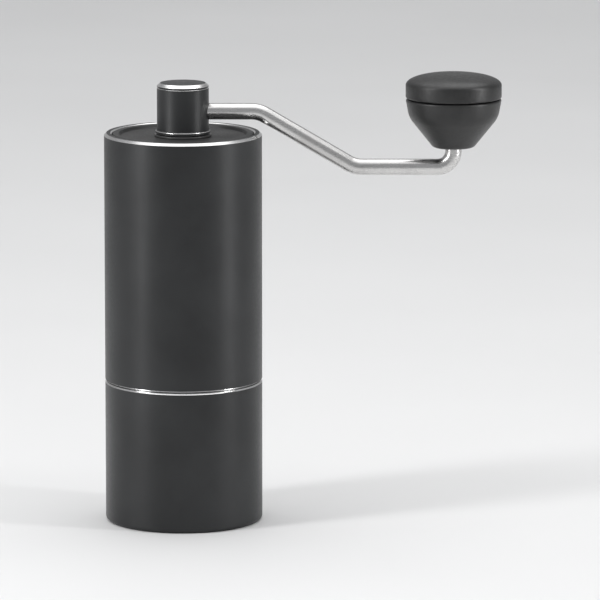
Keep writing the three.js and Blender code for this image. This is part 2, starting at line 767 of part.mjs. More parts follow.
function crankArm() {
  const screwHole = disc(1.7, 129.5, ARM_END_Z + 1, COARSE).translate([KNOB_X, 0, 0]);
  return mesh('crank_arm', cut(rod(ARM_RADIUS, armStations(), 14), screwHole), stainless);
}

const knobWasher = () =>
  group([KNOB_X, 0, 0], mesh('knob_washer', ring(1.7, 5, 137.7, 138.4, COARSE), stainless));

const knobScrew = () =>
  group(
    [KNOB_X, 0, 138.6],
    socketScrew('knob_screw', { head: 2.6, headHeight: 1.7, shank: 1.4, length: 8, socket: 2.2 })
  );

// ---- Knob ---------------------------------------------------------------------------------------

const KNOB_BORE = 4.6;
const KNOB_POCKET = { radius: 7.2, z: 136.2 };

function knobBase() {
  const top = KNOB_SEAM_Z - GAP;
  return mesh(
    'knob_base',
    turned([
      [KNOB_BORE, KNOB_BOTTOM_Z],
      [6.7, KNOB_BOTTOM_Z, 2],
      [14.7, 134.6, 8],
      [KNOB_RADIUS, top],
      [KNOB_POCKET.radius, top],
      [KNOB_POCKET.radius, KNOB_POCKET.z],
      [KNOB_BORE, KNOB_POCKET.z],
    ], 30),
    knobPlastic
  );
}

// The dome's side is upright at the seam and rounds over to a nearly flat crown.
function knobCap() {
  const side = 146;
  const crown = new THREE.EllipseCurve(0, side, KNOB_RADIUS, KNOB_TOP_Z - side, 0, Math.PI / 2);
  const domed = crown.getPoints(6).map(({ x, y }) => [Math.max(x, 0), y]);
  const spigot = { inner: 5.3, outer: KNOB_POCKET.radius - GAP, bottom: 138.9 };
  domed[domed.length - 1][0] = 0;
  return mesh(
    'knob_cap',
    turned([
      [0, KNOB_SEAM_Z + 0.2],
      [spigot.inner, KNOB_SEAM_Z + 0.2],
      [spigot.inner, spigot.bottom],
      [spigot.outer, spigot.bottom],
      [spigot.outer, KNOB_SEAM_Z],
      [KNOB_RADIUS, KNOB_SEAM_Z],
      ...domed,
    ], 30),
    knobPlastic
  );
}

const knobBushing = () =>
  mesh(
    'knob_bushing',
    turned(
      [
        [ARM_RADIUS + GAP, KNOB_BOTTOM_Z + 0.4],
        [KNOB_BORE - GAP, KNOB_BOTTOM_Z + 0.4],
        [KNOB_BORE - GAP, KNOB_POCKET.z + 0.1],
        [6.6, KNOB_POCKET.z + 0.1],
        [6.6, KNOB_POCKET.z + 0.9],
        [ARM_RADIUS + GAP, KNOB_POCKET.z + 0.9],
      ],
      COARSE
    ),
    acetal
  );

// ---- Assembly -----------------------------------------------------------------------------------

const upper = bearingPieces('upper');
const lower = bearingPieces('lower');
const atUpper = (...pieces) => group([0, 0, UPPER_BEARING_Z], pieces);
const atLower = (...pieces) => group([0, 0, LOWER_BEARING_Z], pieces);

const catcher = group([0, 0, 0], catcherCup(), jointSealRing());
const housing = group(
  [0, 0, 0],
  bodyShell(),
  burrCarrier(),
  outerBurr(),
  burrRetainingRing(),
  lowerBearingBracket(),
  bracketScrews(),
  upperBearingBracket(),
  bracketRetainingRing(),
  atUpper(upper.outerRace, upper.ballCage, ...upper.shields),
  atLower(lower.outerRace, lower.ballCage, ...lower.shields)
);
const shaft = group(
  [0, 0, 0],
  driveShaft(),
  shaftClip('lower'),
  shaftClip('upper'),
  springWasher(),
  burrSpring(),
  shaftEndScrew(),
  atUpper(upper.innerRace),
  atLower(lower.innerRace),
  innerBurr(),
  adjustmentDial(),
  clickSprings(),
  clickBalls()
);
const crank = group([0, 0, 0], crankHub(), hubCap(), armClampScrew(), hubRetainingRing(), crankArm());
const knob = group([KNOB_X, 0, 0], knobBase(), knobCap(), knobBushing());
const lidAndCrank = group([0, 0, 0], lid(), lidSealRing(), lidBushing(), crank, knobWasher(), knobScrew(), knob);

const grinder = group([0, 0, 0], catcher, housing, shaft, lidAndCrank);

export default grinder;
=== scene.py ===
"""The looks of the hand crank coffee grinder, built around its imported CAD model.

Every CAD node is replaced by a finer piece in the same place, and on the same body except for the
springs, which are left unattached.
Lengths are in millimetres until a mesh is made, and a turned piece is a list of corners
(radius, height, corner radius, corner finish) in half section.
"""

import json
import math

import bmesh
import bpy
import numpy as np
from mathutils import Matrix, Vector


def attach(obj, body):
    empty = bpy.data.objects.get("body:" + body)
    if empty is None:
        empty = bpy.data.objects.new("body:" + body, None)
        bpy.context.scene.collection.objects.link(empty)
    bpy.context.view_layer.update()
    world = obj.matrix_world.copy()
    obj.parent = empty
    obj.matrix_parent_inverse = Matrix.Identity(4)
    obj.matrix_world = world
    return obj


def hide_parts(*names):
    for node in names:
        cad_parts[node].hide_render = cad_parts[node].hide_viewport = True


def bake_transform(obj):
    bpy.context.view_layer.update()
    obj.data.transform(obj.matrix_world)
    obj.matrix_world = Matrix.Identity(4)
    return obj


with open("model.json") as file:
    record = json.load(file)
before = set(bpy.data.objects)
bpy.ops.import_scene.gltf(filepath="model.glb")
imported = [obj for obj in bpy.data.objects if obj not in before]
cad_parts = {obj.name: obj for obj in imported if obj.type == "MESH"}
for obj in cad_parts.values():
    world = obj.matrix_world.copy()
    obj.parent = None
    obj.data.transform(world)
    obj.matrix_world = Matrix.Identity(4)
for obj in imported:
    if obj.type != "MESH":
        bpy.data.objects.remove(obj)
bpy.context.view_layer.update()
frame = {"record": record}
RECORD = frame["record"]
BODY_OF = {node: body for body, nodes in RECORD["behaviour"]["bodies"].items() for node in nodes}
SLOT_OF = {part["node"]: part["material_slot"] for part in RECORD["subparts"]}
MM = 0.001
SMOOTH_BELOW = math.radians(32)
BEVEL_ABOVE = math.radians(40)
ROUND_STEP = 0.35  # length of one face across a rounded corner
BEND_STEP = 0.6  # length of one ring of faces along a bend of the arm
MAIN, BRIGHT = 0, 1  # a piece's own finish, and the bare metal of its machined edges

KNOB_X = 89
KNOB_RADIUS = 15.8

# ---- Camera and light ------------------------------------------------------------------------


def aim(thing, at):
    thing.rotation_euler = (Vector(at) - thing.location).to_track_quat("-Z", "Y").to_euler()


def make_camera(target, distance, elevation, lens):
    angle = math.radians(elevation)
    camera = bpy.data.objects.new("camera", bpy.data.cameras.new("camera"))
    camera.location = Vector(target) + distance * Vector((0, -math.cos(angle), math.sin(angle)))
    camera.data.lens = lens
    camera.data.clip_start = 0.01
    bpy.context.collection.objects.link(camera)
    aim(camera, target)
    bpy.context.scene.camera = camera


def softbox(name, place, at, width, height, watts):
    light = bpy.data.lights.new(name, "AREA")
    light.shape = "RECTANGLE"
    light.size = width
    light.size_y = height
    light.energy = watts
    made = bpy.data.objects.new(name, light)
    made.location = place
    made.visible_camera = False
    bpy.context.collection.objects.link(made)
    aim(made, at)


make_camera(target=(0.0385, 0, 0.0735), distance=2.0, elevation=10, lens=363)
softbox("key", (-0.62, -0.34, 0.42), at=(0.0, 0, 0.07), width=0.13, height=0.85, watts=4.0)
softbox("side", (0.72, -0.26, 0.3), at=(0.03, 0, 0.08), width=0.1, height=0.85, watts=3.2)
softbox("top", (0.05, 0.35, 1.1), at=(0.03, 0.1, 0.1), width=1.1, height=0.8, watts=3)
softbox("overhead", (0.0, 0.3, 2.6), at=(0.0, 0.3, 0.0), width=3.6, height=3.6, watts=44)
world = bpy.data.worlds.new("studio")
world.use_nodes = True
background = world.node_tree.nodes["Background"].inputs
background["Color"].default_value = (0.97, 0.98, 1.0, 1)
background["Strength"].default_value = 0.4
bpy.context.scene.world = world
bpy.context.scene.view_settings.view_transform = "Standard"

# ---- Materials -------------------------------------------------------------------------------


class Shader:
    """A Principled material, with short calls for the nodes that vary it over the surface."""

    def __init__(self, name, base, roughness, metallic=0.0, **sockets):
        self.material = bpy.data.materials.new(name)
        self.material.use_nodes = True
        self.tree = self.material.node_tree
        self.bsdf = self.tree.nodes["Principled BSDF"]
        self.normal = None
        self.place = self.node("ShaderNodeTexCoord").outputs["Object"]
        inputs = {"Base Color": (*base, 1), "Roughness": roughness, "Metallic": metallic}
        self.put(self.bsdf, inputs)
        self.put(self.bsdf, {key.replace("_", " "): value for key, value in sockets.items()})

    def put(self, node, inputs):
        for key, value in inputs.items():
            if isinstance(value, bpy.types.NodeSocket):
                self.tree.links.new(value, node.inputs[key])
            else:
                node.inputs[key].default_value = value

    def node(self, kind, inputs=None, **settings):
        made = self.tree.nodes.new(kind)
        for key, value in settings.items():
            setattr(made, key, value)
        self.put(made, inputs or {})
        return made

    def math(self, operation, a, b=0.0):
        return self.node("ShaderNodeMath", {0: a, 1: b}, operation=operation).outputs[0]

    def noise(self, scale, detail, stretch=(1, 1, 1)):
        scaled = self.node("ShaderNodeMapping", {"Vector": self.place, "Scale": stretch})
        inputs = {"Vector": scaled.outputs[0], "Scale": scale, "Detail": detail}
        return self.node("ShaderNodeTexNoise", inputs).outputs["Fac"]

    def cells(self, scale):
        inputs = {"Vector": self.place, "Scale": scale}
        kind = "ShaderNodeTexVoronoi"
        return self.node(kind, inputs, feature="SMOOTH_F1").outputs["Distance"]

    def turned(self, lines_per_mm):
        """Noise that changes only with radius and height, as a lathe tool's marks do."""
        x, y, z = self.node("ShaderNodeSeparateXYZ", {0: self.place}).outputs
        square = self.math("ADD", self.math("MULTIPLY", x, x), self.math("MULTIPLY", y, y))
        along = self.math("ADD", self.math("SQRT", square), z)
        inputs = {"W": self.math("MULTIPLY", along, lines_per_mm / MM), "Scale": 1.0, "Detail": 2.0}
        return self.node("ShaderNodeTexNoise", inputs, noise_dimensions="1D").outputs["Fac"]

    def level(self, value, low, high, to_low, to_high):
        inputs = {"Value": value, "From Min": low, "From Max": high}
        inputs.update({"To Min": to_low, "To Max": to_high})
        return self.node("ShaderNodeMapRange", inputs).outputs[0]

    def colour(self, value, low, high, colour_a, colour_b):
        """One colour where the value is low, the other where it is high.

        The colour sockets of a Mix node share their names, so they go by number.
        """
        share = self.level(value, low, high, 0, 1)
        mixed = self.node("ShaderNodeMix", data_type="RGBA")
        self.put(mixed, {0: share, 6: (*colour_a, 1), 7: (*colour_b, 1)})
        self.put(self.bsdf, {"Base Color": mixed.outputs[2]})
        return self

    def rough(self, value, variation=None):
        """Sets the roughness, with a second variation added if there is one."""
        if variation is not None:
            value = self.math("ADD", value, variation)
        self.put(self.bsdf, {"Roughness": value})
        return self

    def bump(self, height, depth_mm, strength):
        inputs = {"Height": height, "Distance": depth_mm * MM, "Strength": strength}
        if self.normal:
            inputs["Normal"] = self.normal
        self.normal = self.node("ShaderNodeBump", inputs).outputs[0]
        self.put(self.bsdf, {"Normal": self.normal})
        return self


def grey(value, warmth=0.0):
    return (value * (1 + warmth), value, value * (1 - warmth))


def anodised(name):
    made = Shader(name, grey(0.015, -0.06), 0.4, 0.25)
    made.colour(made.noise(42, 4), 0.35, 0.65, grey(0.012, -0.06), grey(0.021, -0.05))
    handled = made.noise(28, 5, (1, 1, 0.6))
    grain = made.noise(900, 2)
    made.rough(made.level(handled, 0.35, 0.7, 0.35, 0.45), made.level(grain, 0.3, 0.7, -0.03, 0.03))
    made.bump(made.noise(1700, 3), 0.03, 0.5)
    made.bump(made.noise(520, 2), 0.02, 0.4)
    return made.material


def machined(name, base=0.74, roughness=0.2, depth=0.012, lines=9):
    made = Shader(name, grey(base), roughness, 1.0)
    marks = made.turned(lines)
    tarnish = made.noise(60, 4)
    made.colour(tarnish, 0.35, 0.7, grey(base), grey(base * 0.84, 0.012))
    dulled = made.level(tarnish, 0.3, 0.7, roughness, roughness + 0.08)
    made.rough(made.level(marks, 0.2, 0.8, -0.06, 0.08), dulled)
    return made.bump(marks, depth, 0.6).material


def brushed(name):
    """Polished along its length with a fine belt, then handled."""
    made = Shader(name, grey(0.6, 0.01), 0.26, 1.0)
    hair = made.noise(1.0, 2, (140, 3600, 3600))
    cloud = made.noise(55, 4)
    made.colour(cloud, 0.35, 0.7, grey(0.63, 0.01), grey(0.5, 0.016))
    made.rough(made.level(hair, 0.25, 0.75, -0.05, 0.06), made.level(cloud, 0.3, 0.7, 0.22, 0.34))
    return made.bump(hair, 0.012, 0.5).material


def moulded(name, base, roughness, cell, depth):
    """Spark-eroded mould texture with a slight shine on its tops, and faint handling marks."""
    made = Shader(name, grey(base), roughness, 0.0, IOR=1.5)
    texture = made.cells(cell)
    patches = made.noise(48, 4)
    made.colour(made.noise(170, 3), 0.35, 0.65, grey(base * 0.85), grey(base * 1.25))
    handled = made.level(patches, 0.35, 0.65, roughness - 0.05, roughness + 0.07)
    made.rough(made.level(texture, 0.1, 0.8, 0.05, -0.06), handled)
    made.bump(texture, depth, 0.55)
    made.bump(made.noise(3600, 2), 0.012, 0.35)
    return made.material


def plain_steel(name, base, roughness):
    made = Shader(name, grey(base), roughness, 1.0)
    spots = made.noise(500, 3)
    made.colour(made.noise(90, 3), 0.35, 0.65, grey(base), grey(base * 0.8, 0.01))
    made.rough(made.level(spots, 0.3, 0.7, roughness - 0.05, roughness + 0.09))
    return made.bump(spots, 0.006, 0.4).material


def rubber(name):
    made = Shader(name, grey(0.04), 0.72, 0.0)
    made.colour(made.noise(120, 3), 0.35, 0.65, grey(0.034), grey(0.052))
    made.rough(made.level(made.noise(400, 3), 0.3, 0.7, 0.64, 0.8))
    return made.bump(made.noise(1800, 3), 0.02, 0.5).material


def studio_floor(name):
    made = Shader(name, grey(0.71), 0.6, 0.0)
    made.colour(made.noise(6, 2), 0.3, 0.7, grey(0.7), grey(0.72))
    return made.bump(made.noise(260, 2), 0.04, 0.15).material


FINISH = {
    "black_anodised": anodised("anodised_black"),
    "bare_aluminium": machined("aluminium_turned"),
    "stainless": brushed("stainless_brushed"),
    "burr_steel": machined("burr_steel_ground", 0.42, 0.27, 0.016, 6),
    "bearing_steel": plain_steel("bearing_steel_polished", 0.62, 0.16),
    "spring_steel": plain_steel("spring_steel_plain", 0.36, 0.32),
    "black_plastic": moulded("plastic_black_fine", 0.017, 0.52, 1500, 0.03),
    "knob_plastic": moulded("plastic_knob", 0.012, 0.4, 1000, 0.05),
    "acetal": moulded("acetal_turned", 0.045, 0.36, 2400, 0.01),
    "silicone": rubber("silicone_black"),
}
EDGE = machined("machined_edge", 0.8, 0.19)

# ---- Shapes ----------------------------------------------------------------------------------


def fillet(previous, corner, following, radius, steps_for):
    """The points of a rounded corner, in as many steps as steps_for gives for its length."""
    here = np.array(corner, float)
    before = np.array(previous, float) - here
    after = np.array(following, float) - here
    before /= np.linalg.norm(before)
    after /= np.linalg.norm(after)
    half = math.acos(np.clip(before @ after, -1, 1)) / 2
    middle = here + (before + after) / np.linalg.norm(before + after) * radius / math.sin(half)
    start = here + before * radius / math.tan(half) - middle
    turn = math.pi - 2 * half
    side = -np.sign(before[0] * after[1] - before[1] * after[0])
    steps = steps_for(radius * turn)
    points = []
    for k in range(steps + 1):
        a = side * turn * k / steps
        c, s = math.cos(a), math.sin(a)
        points.append(middle + (start[0] * c - start[1] * s, start[0] * s + start[1] * c))
    return points


def one_step(length):
    return 1


def round_steps(length):
    return 4 + int(length / ROUND_STEP)


def rounded(outline):
    """The outline with its corners rounded, and the finish of the face after each point."""
    corners = [(*corner, *(0, MAIN)[len(corner) - 2:]) for corner in outline]
    points, finishes = [], []
    for i, (x, y, radius, finish) in enumerate(corners):
        if not radius:
            points.append(np.array((x, y), float))
            finishes.append(MAIN)
            continue
        previous, following = corners[i - 1][:2], corners[(i + 1) % len(corners)][:2]
        steps_for = one_step if finish == BRIGHT else round_steps
        bend = fillet(previous, (x, y), following, radius, steps_for)
        points += bend
        finishes += [finish] * (len(bend) - 1) + [MAIN]
    return points, finishes


def to_object(name, mesh):
    made = bpy.data.objects.new(name, mesh)
    bpy.context.collection.objects.link(made)
    return made


def empty_mesh(name):
    """A mesh with a place for each finish, so that cuts keep track of them."""
    mesh = bpy.data.meshes.new(name)
    mesh.materials.append(None)
    mesh.materials.append(None)
    return mesh


def from_grid(name, verts, faces, finishes=None):
    mesh = empty_mesh(name)
    mesh.from_pydata([Vector(v) * MM for v in verts], [], faces)
    if finishes:
        mesh.polygons.foreach_set("material_index", finishes)
    build = bmesh.new()
    build.from_mesh(mesh)
    bmesh.ops.remove_doubles(build, verts=build.verts, dist=1e-7)
    bmesh.ops.recalc_face_normals(build, faces=build.faces)
    build.to_mesh(mesh)
    build.free()
    return to_object(name, mesh)


def spin(outline, segments, centre=(0, 0, 0)):
    """An outline turned about the vertical line through the centre."""
    points, finishes = rounded(outline)
    count = len(points)
    open_ended = points[0][0] < 1e-6 and points[-1][0] < 1e-6
    verts = []
    for k in range(segments):
        angle = 2 * math.pi * k / segments
        for radius, height in points:
            x, y = radius * math.cos(angle), radius * math.sin(angle)
            verts.append((centre[0] + x, centre[1] + y, centre[2] + height))
    faces, face_finishes = [], []
    for k in range(segments):
        here, following = k * count, (k + 1) % segments * count
        for i in range(count - 1 if open_ended else count):
            j = (i + 1) % count
            corners = [here + i, here + j, following + j, following + i]
            if points[i][0] < 1e-6:
                corners.remove(following + i)
            if points[j][0] < 1e-6:
                corners.remove(following + j)
            faces.append(corners)
            face_finishes.append(finishes[i])
    return from_grid("turned", verts, faces, face_finishes)


def disc(radius, low, high, centre=(0, 0, 0), segments=64, bevel=0):
    corners = [(0, low), (radius, low, bevel), (radius, high, bevel), (0, high)]
    return spin(corners, segments, centre)


def tube(inner, outer, low, high, centre=(0, 0, 0), segments=96, bevel=0.08):
    corners = [(inner, low, bevel), (outer, low, bevel), (outer, high, bevel), (inner, high, bevel)]
    return spin(corners, segments, centre)


def loft(rings):
    """A skin through rings that have as many points each, with a flat face at both ends."""
    count = len(rings[0])
    verts = [point for ring in rings for point in ring]
    faces = []
    for k in range(len(rings) - 1):
        here, following = k * count, (k + 1) * count
        for i in range(count):
            j = (i + 1) % count
            faces.append([here + i, here + j, following + j, following + i])
    last = (len(rings) - 1) * count
    faces += [list(range(count))[::-1], [last + i for i in range(count)]]
    return from_grid("lofted", verts, faces)


def prism(points, low, high, centre=(0, 0, 0)):
    """A closed outline in the XY plane, raised from one height to another."""
    return loft([
        [(centre[0] + x, centre[1] + y, centre[2] + z) for x, y in points] for z in (low, high)
    ])


def polar(radius, degrees, z=None):
    x, y = radius * math.cos(math.radians(degrees)), radius * math.sin(math.radians(degrees))
    return (x, y) if z is None else (x, y, z)


def hexagon(across_flats, low, high, centre=(0, 0, 0)):
    corners = [polar(across_flats / math.sqrt(3), 30 + 60 * i) for i in range(6)]
    return prism(corners, low, high, centre)


def sweep(section, stations):
    """A closed section carried through stations of (point, side, up)."""
    return loft([
        [np.array(p) + u * np.array(a) + v * np.array(b) for u, v in section]
        for p, a, b in stations
    ])


def circle(radius, sides):
    return [polar(radius, 360 * i / sides) for i in range(sides)]


def helix(radius, pitch, turns, bottom, steps_per_turn, taper=0.0, flat_ends=0.0):
    """Stations of a helix about Z.

    Its ends can sink towards the axis by the taper, within an eighth of a turn or so, or rise
    slowly over the turns of flat_ends, as the closed ends of a spring do.
    """
    stations = []
    steps = int(turns * steps_per_turn)
    for k in range(steps + 1):
        turn = turns * k / steps
        angle = 2 * math.pi * turn
        outward = np.array((math.cos(angle), math.sin(angle), 0))
        sink = taper * max(0, 1 - min(turn, turns - turn) / 0.12)
        height = pitch * turn
        if flat_ends:
            travelled = np.clip((turn - flat_ends) / (turns - 2 * flat_ends), 0, 1)
            height = pitch * turns * (0.86 * travelled + 0.14 * turn / turns)
        stations.append((outward * (radius - sink) + (0, 0, bottom + height), outward, (0, 0, 1)))
    return stations


def sphere(radius, centre, rings=24):
    build = bmesh.new()
    around = rings * 3 // 2
    bmesh.ops.create_uvsphere(build, u_segments=around, v_segments=rings, radius=radius * MM)
    bmesh.ops.translate(build, verts=build.verts, vec=Vector(centre) * MM)
    mesh = empty_mesh("sphere")
    build.to_mesh(mesh)
    build.free()
    return to_object("sphere", mesh)


def apply_modifiers(piece):
    graph = bpy.context.evaluated_depsgraph_get()
    mesh = bpy.data.meshes.new_from_object(piece.evaluated_get(graph))
    piece.modifiers.clear()
    piece.data = mesh


def combine(piece, operation, *tools):
    for tool in tools:
        step = piece.modifiers.new("combine", "BOOLEAN")
        step.operation = operation
        step.solver = "EXACT"
        step.object = tool
    apply_modifiers(piece)
    for tool in tools:
        bpy.data.objects.remove(tool)
    return piece


def cut(piece, *tools):
    return combine(piece, "DIFFERENCE", *tools)


def fuse(piece, *others):
    return combine(piece, "UNION", *others)


def gather(pieces):
    """Several closed shells as one object."""
    build = bmesh.new()
    for piece in pieces:
        build.from_mesh(piece.data)
    mesh = empty_mesh("gathered")
    build.to_mesh(mesh)
    build.free()
    for piece in pieces:
        bpy.data.objects.remove(piece)
    return to_object("gathered", mesh)


def clean(mesh):
    """Closes hairline gaps that a cut or a bevel left, and splits faces of more than four sides."""
    build = bmesh.new()
    build.from_mesh(mesh)
    if any(len(edge.link_faces) != 2 for edge in build.edges):
        bmesh.ops.remove_doubles(build, verts=build.verts, dist=2e-6)
        bmesh.ops.dissolve_degenerate(build, edges=build.edges, dist=2e-6)
    large = [face for face in build.faces if len(face.verts) > 4]
    bmesh.ops.triangulate(build, faces=large, ngon_method="EAR_CLIP")
    build.to_mesh(mesh)
    build.free()


def smooth(mesh):
    for face in mesh.polygons:
        face.use_smooth = True


def stand_for(node, piece, bevel=0.0, stretch=None):
    """Gives a piece its finishes, and puts it in the place of a CAD node.

    A spring's stretch, given as (body, body, lowest point, highest point), only keeps it off any
    body: it stays in world space, and nothing in the tuple is used.
    """
    piece.name = piece.data.name = f"{node}_fine"
    piece.data.materials[MAIN] = FINISH[SLOT_OF[node]]
    piece.data.materials[BRIGHT] = EDGE
    if bevel:
        step = piece.modifiers.new("edges", "BEVEL")
        step.width = bevel * MM
        step.segments = 2
        step.limit_method = "ANGLE"
        step.angle_limit = BEVEL_ABOVE
        apply_modifiers(piece)
        piece.data.name = piece.name
    clean(piece.data)
    smooth(piece.data)
    piece.data.set_sharp_from_angle(angle=SMOOTH_BELOW)
    if stretch:
        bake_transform(piece)
    else:
        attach(piece, BODY_OF[node])
    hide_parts(node)
    return piece


# ---- Catcher and housing ---------------------------------------------------------------------

THREAD_PITCH = 2.5
CUP_BORE = 23.6
SPIGOT_RADIUS = 22.5
SPIGOT_Z = 38.5
THREAD_Z = 39.6


def thread_ridge(root, outward, bottom):
    """One and a half turns of thread on a wall, standing 0.8 mm outwards or inwards."""
    section = [(-outward * 0.4, -0.82), (outward * 0.72, -0.3), (outward * 0.8, -0.22)]
    section += [(outward * 0.8, 0.22), (outward * 0.72, 0.3), (-outward * 0.4, 0.82)]
    return sweep(section, helix(root, THREAD_PITCH, 1.5, bottom, 120, taper=outward * 0.78))


cup = spin([
    (0, 0), (26, 0, 1.4), (26, 46.85, 0.45, BRIGHT), (24.4, 46.85, 0.12), (24.4, 45.6),
    (CUP_BORE, 45.6, 0.12), (CUP_BORE, 3, 3.4), (0, 3),
], 192)
stand_for("catcher_cup", fuse(cup, thread_ridge(CUP_BORE, -1, THREAD_Z - THREAD_PITCH / 2)))

stand_for("joint_seal_ring", spin([(23.45 + x, 46.3 + z) for x, z in circle(0.58, 16)], 144))

shell = spin([
    (23.5, 47.15, 0.3), (26, 47.15, 0.45, BRIGHT),
    (26, 129.5, 0.8, BRIGHT), (23.5, 129.5, 0.4, BRIGHT),
    (23.5, 119.4), (24.4, 119.4), (24.4, 118.2), (23.5, 118.2),
    (23.5, 111.8), (22.6, 111.8, 0.2), (22.6, 72.6), (23.5, 72.6),
], 192)
stand_for("body_shell", shell)

SCREW_ANGLES = (90, 210, 330)
SCREW_CIRCLE = 20.3

carrier = spin([
    (19.35, SPIGOT_Z, 0.3), (SPIGOT_RADIUS, SPIGOT_Z, 0.5), (SPIGOT_RADIUS, 47.15),
    (23.2, 47.15, 0.15), (23.2, 66, 0.3), (17.2, 66, 0.4), (17.2, 62.2), (19.35, 62.2),
    (19.35, 46.2), (20.4, 46.2), (20.4, 44.8), (19.35, 44.8),
], 160)
carrier = fuse(carrier, thread_ridge(SPIGOT_RADIUS, 1, THREAD_Z))
holes = [disc(1.4, 62.6, 67, polar(SCREW_CIRCLE, a, 0), 32) for a in SCREW_ANGLES]
stand_for("burr_carrier", cut(carrier, *holes))


SPOKE_ROOT = 9
SPOKE_HALF_WIDTH = 2.25
SPOKE_STEPS = 12


def spoke(angle, reach, low, high):
    """A spoke from the boss outwards, narrowest halfway."""
    along, across = np.array(polar(1, angle)), np.array(polar(1, angle + 90))
    left, right = [], []
    for k in range(SPOKE_STEPS + 1):
        share = k / SPOKE_STEPS
        place = along * (SPOKE_ROOT + (reach - SPOKE_ROOT) * share)
        half = across * (SPOKE_HALF_WIDTH * (0.72 + 0.28 * abs(2 * share - 1) ** 2))
        left.append(tuple(place + half))
        right.append(tuple(place - half))
    return prism(left + right[::-1], low, high)


def spoked_bracket(node, ring, boss, spoke_low, spoke_high, ring_inner, seat_z, holed):
    """A ring and a boss, joined by three spokes, with a seat for a bearing."""
    spokes = [spoke(angle, ring_inner + 0.8, spoke_low, spoke_high) for angle in (30, 150, 270)]
    piece = fuse(spin(ring, 144), spin(boss, 96), *spokes)
    tools = [disc(8.35, seat_z - 0.2, seat_z + 8, segments=96)]
    tools.append(disc(6.7, seat_z - 6, seat_z, segments=96))
    if holed:
        tools += [disc(1.4, 60, 80, polar(SCREW_CIRCLE, a, 0), 32) for a in SCREW_ANGLES]
    stand_for(node, cut(piece, *tools), bevel=0.18)


spoked_bracket(
    "upper_bearing_bracket",
    ring=[(19.6, 112.1), (23.1, 112.1), (23.1, 117.9), (19.6, 117.9)],
    boss=[(0, 112.1), (10.6, 112.1), (10.6, 118.8), (0, 118.8)],
    spoke_low=112.1, spoke_high=116.5, ring_inner=19.6, seat_z=113.5, holed=False,
)
spoked_bracket(
    "lower_bearing_bracket",
    ring=[(17.4, 66.3), (23.1, 66.3), (23.1, 72.3), (17.4, 72.3)],
    boss=[(0, 69.2), (10.6, 69.2), (10.6, 75.9), (0, 75.9)],
    spoke_low=69.2, spoke_high=72.3, ring_inner=17.4, seat_z=70.6, holed=True,
)


def socket_screw(node, place, head, head_height, shank, length, socket, flip=False):
    """A threaded screw with a hexagon socket, its head's underside at the place."""
    def at(z):
        return -z if flip else z

    def ordered(outline):
        return [(r, at(z), *rest) for r, z, *rest in outline]

    body = spin(ordered([
        (0, -length), (shank - 0.25, -length, 0.15), (shank - 0.12, 0), (head, 0, 0.12),
        (head, head_height, 0.25), (0, head_height),
    ]), 64, place)
    low, high = sorted((at(head_height * 0.42), at(head_height + 1)))
    body = cut(body, hexagon(socket, low, high, place))
    pitch = 0.5
    turns = int((length - 1.2) / pitch)
    section = [(-0.16, -0.2), (0.0, -0.03), (0.0, 0.03), (-0.16, 0.2)]
    bottom = min(at(-length + 0.5), at(-length + 0.5 + turns * pitch))
    ridge = helix(shank, pitch, turns, bottom, 24)
    ridge = [(p + np.array(place), a, b) for p, a, b in ridge]
    stand_for(node, gather([body, sweep(section, ridge)]))


for i, angle in enumerate(SCREW_ANGLES):
    place = polar(SCREW_CIRCLE, angle, 72.1)
    socket_screw(f"bracket_screw_{i + 1}", place, 2.1, 1.6, 1.1, 9.3, 1.8)


LUG_INSET = 0.06  # a lug's faces lie off the ring's, because a cut can't tell level faces apart


def retaining_ring(node, inner, outer, low, high, gap, lug, inward):
    """A spring ring with a lug and a plier hole at each end, its gap towards +Y."""
    half = gap / 2
    angles = np.linspace(90 + half, 450 - half, 97)
    outline = [polar(outer, a) for a in angles] + [polar(inner, a) for a in angles[::-1]]
    piece = prism(outline, low, high)
    centre = inner - lug * 0.35 if inward else outer + lug * 0.35
    ends = [polar(centre, 90 + side * (half + math.degrees(lug / centre)), 0) for side in (1, -1)]
    lugs = [disc(lug, low + LUG_INSET, high - LUG_INSET, end, 40) for end in ends]
    piece = fuse(piece, *lugs)
    holes = [disc(lug * 0.42, low - 1, high + 1, end, 32) for end in ends]
    stand_for(node, cut(piece, *holes), bevel=0.08)


retaining_ring("bracket_retaining_ring", 22, 24.1, 118.4, 119.2, 40, 1.5, True)
retaining_ring("burr_retaining_ring", 18, 20.1, 45.1, 45.9, 50, 1.0, True)

BEARING_PITCH = 6.12
BEARING_WIDTH = 5
BALLS = 7
BALL_RADIUS = 0.95


def bearing(prefix, z):
    top = z + BEARING_WIDTH

    def groove(face, depth):
        """The balls' track in a race's face, from below to above."""
        return [
            (face + depth * math.cos(a), z + 2.5 + BALL_RADIUS * math.sin(a))
            for a in np.linspace(-1.5, 1.5, 13)
        ]

    inner = [(4.15, z, 0.25), (5.25, z, 0.12), *groove(5.25, -0.3)]
    inner += [(5.25, top, 0.12), (4.15, top, 0.25)]
    outer = [(8, top, 0.3), (7, top, 0.12), *groove(7, 0.3)[::-1], (7, z, 0.12), (8, z, 0.3)]
    stand_for(f"{prefix}_bearing_inner_race", spin(inner, 96))
    stand_for(f"{prefix}_bearing_outer_race", spin(outer, 128))
    places = [polar(BEARING_PITCH, i * 360 / BALLS, z + 2.5) for i in range(BALLS)]
    balls = [sphere(BALL_RADIUS, place, 20) for place in places]
    cage = tube(5.8, 6.45, z + 2, z + 3, segments=98, bevel=0.05)
    stand_for(f"{prefix}_bearing_ball_cage", fuse(cage, *balls))
    for which, low in (("lower", z + 0.15), ("upper", z + 4.6)):
        high = low + 0.25
        dish = spin([
            (5.5, low, 0.05), (6.0, low, 0.05), (6.15, low + 0.06), (6.5, low + 0.06),
            (6.8, low), (6.8, high, 0.05), (6.5, high), (6.15, high),
            (6.0, high - 0.06), (5.5, high - 0.06),
        ], 128)
        stand_for(f"{prefix}_bearing_{which}_shield", dish)


